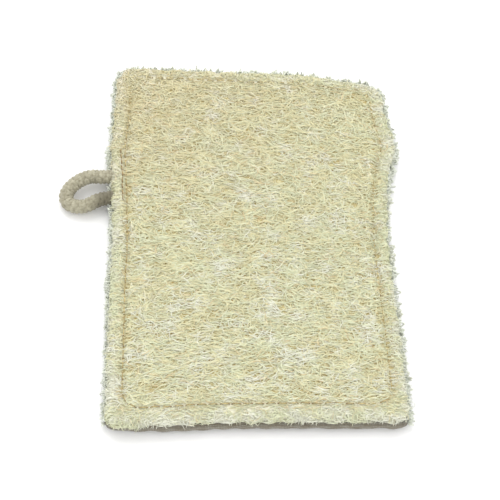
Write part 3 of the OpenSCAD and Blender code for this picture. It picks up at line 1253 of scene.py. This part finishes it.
class SCRUBBER_OT_hidden_seam(Operator):
    """Sew the hidden joining seam through the turned-in edges, along the cut outline"""

    bl_idname = "scrubber.hidden_seam"
    bl_label = "Hidden seam"

    def execute(self, context):
        pad, settings = context.scene.scrubber_pad, context.scene.scrubber_thread
        inset = pad.face_inset + pad.face_fold + 0.3 * MM
        holes = row_round(HALF_W - inset, HALF_L - inset, pad.lower_corner, settings.pitch * 0.6)
        route = thread_route(holes, True, random.Random(14), 0.3 * MM, -0.3 * MM)
        route[:, 2] += SEAM_Z
        seam = spun_thread("seam_thread", settings.bobbin)
        laid = cut_by_hand(route)
        piece = thread_piece("seam_thread", laid, True, settings.thickness, seam)
        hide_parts("edge_seam_thread")
        return {"FINISHED"}


class SCRUBBER_OT_sponge_liner(Operator):
    """Give the sponge liner its open foam"""

    bl_idname = "scrubber.sponge_liner"
    bl_label = "Sponge liner"

    def execute(self, context):
        foam = open_foam()
        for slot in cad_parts["sponge_liner"].material_slots:
            slot.link = "OBJECT"
            slot.material = foam
        return {"FINISHED"}


# ---------------------------------------------------------------- stage


class SCRUBBER_OT_stage(Operator):
    """Lay the pale floor, hang the soft lights and set the camera"""

    bl_idname = "scrubber.stage"
    bl_label = "Stage"

    def execute(self, context):
        settings = context.scene.scrubber_stage
        context.scene.view_settings.view_transform = "Standard"
        self.floor(settings)
        self.light("key_light", settings.key, 0.9, (-0.25, 0.75, 1.1))
        self.light("fill_light", settings.fill, 1.2, (0.9, -0.3, 0.9))
        world = bpy.data.worlds.new("surround")
        world.use_nodes = True
        backdrop = world.node_tree.nodes["Background"]
        backdrop.inputs["Color"].default_value = (1, 1, 1, 1)
        backdrop.inputs["Strength"].default_value = settings.sky
        context.scene.world = world
        self.camera(context, settings)
        return {"FINISHED"}

    def floor(self, settings):
        half_width = 3.0
        bm = bmesh.new()
        bmesh.ops.create_grid(bm, x_segments=1, y_segments=1, size=half_width)
        mesh = bpy.data.meshes.new("floor")
        bm.to_mesh(mesh)
        bm.free()
        mesh.materials.append(pale_floor(settings.floor))
        floor = bpy.data.objects.new("floor", mesh)
        bpy.context.scene.collection.objects.link(floor)

    def light(self, name, power, size, place):
        lamp = bpy.data.lights.new(name, "AREA")
        lamp.energy = power
        lamp.size = size
        lit = bpy.data.objects.new(name, lamp)
        lit.location = place
        lit.rotation_euler = (-Vector(place)).to_track_quat("-Z", "Y").to_euler()
        bpy.context.scene.collection.objects.link(lit)

    def camera(self, context, settings):
        turn, height, roll = (math.radians(a) for a in (settings.azimuth, settings.elevation, settings.roll))
        across = math.cos(height)
        back = Vector((math.sin(turn) * across, -math.cos(turn) * across, math.sin(height)))
        target = Vector((-1.8, -6.4, 5.0)) * MM
        lens = bpy.data.cameras.new("camera")
        lens.lens = settings.lens
        lens.sensor_width = 36.0
        lens.clip_start = 0.01
        camera = bpy.data.objects.new("camera", lens)
        aim = (-back).to_track_quat("-Z", "Y").to_matrix().to_4x4() @ Matrix.Rotation(roll, 4, "Z")
        camera.matrix_world = Matrix.Translation(target + back * settings.distance) @ aim
        context.scene.collection.objects.link(camera)
        context.scene.camera = camera


OPERATORS = (
    SCRUBBER_OT_stage,
    SCRUBBER_OT_braided_cord,
    SCRUBBER_OT_loofah_panel,
    SCRUBBER_OT_loofah_fibres,
    SCRUBBER_OT_frayed_rim,
    SCRUBBER_OT_terry_cloth,
    SCRUBBER_OT_terry_pile,
    SCRUBBER_OT_stitching,
    SCRUBBER_OT_hidden_seam,
    SCRUBBER_OT_sponge_liner,
)


class SCRUBBER_PT_sidebar(Panel):
    """Lists the pad's settings and the operators that make it"""

    bl_idname = "SCRUBBER_PT_sidebar"
    bl_label = "Loofah Scrubbing Pad"
    bl_space_type = "VIEW_3D"
    bl_region_type = "UI"
    bl_category = "Scrubber"

    def draw(self, context):
        for group in GROUPS:
            settings = getattr(context.scene, group)
            box = self.layout.box()
            for name in type(settings).__annotations__:
                box.prop(settings, name)
        for operator in OPERATORS:
            self.layout.operator(operator.bl_idname)


def register():
    for name, group in GROUPS.items():
        bpy.utils.register_class(group)
        setattr(bpy.types.Scene, name, PointerProperty(type=group))
    for item in (*OPERATORS, SCRUBBER_PT_sidebar):
        bpy.utils.register_class(item)


def unregister():
    for item in (SCRUBBER_PT_sidebar, *reversed(OPERATORS)):
        bpy.utils.unregister_class(item)
    for name, group in GROUPS.items():
        delattr(bpy.types.Scene, name)
        bpy.utils.unregister_class(group)


def main():
    register()
    for operator in OPERATORS:
        family, name = operator.bl_idname.split(".")
        getattr(getattr(bpy.ops, family), name)()


if __name__ == "__main__":
    main()
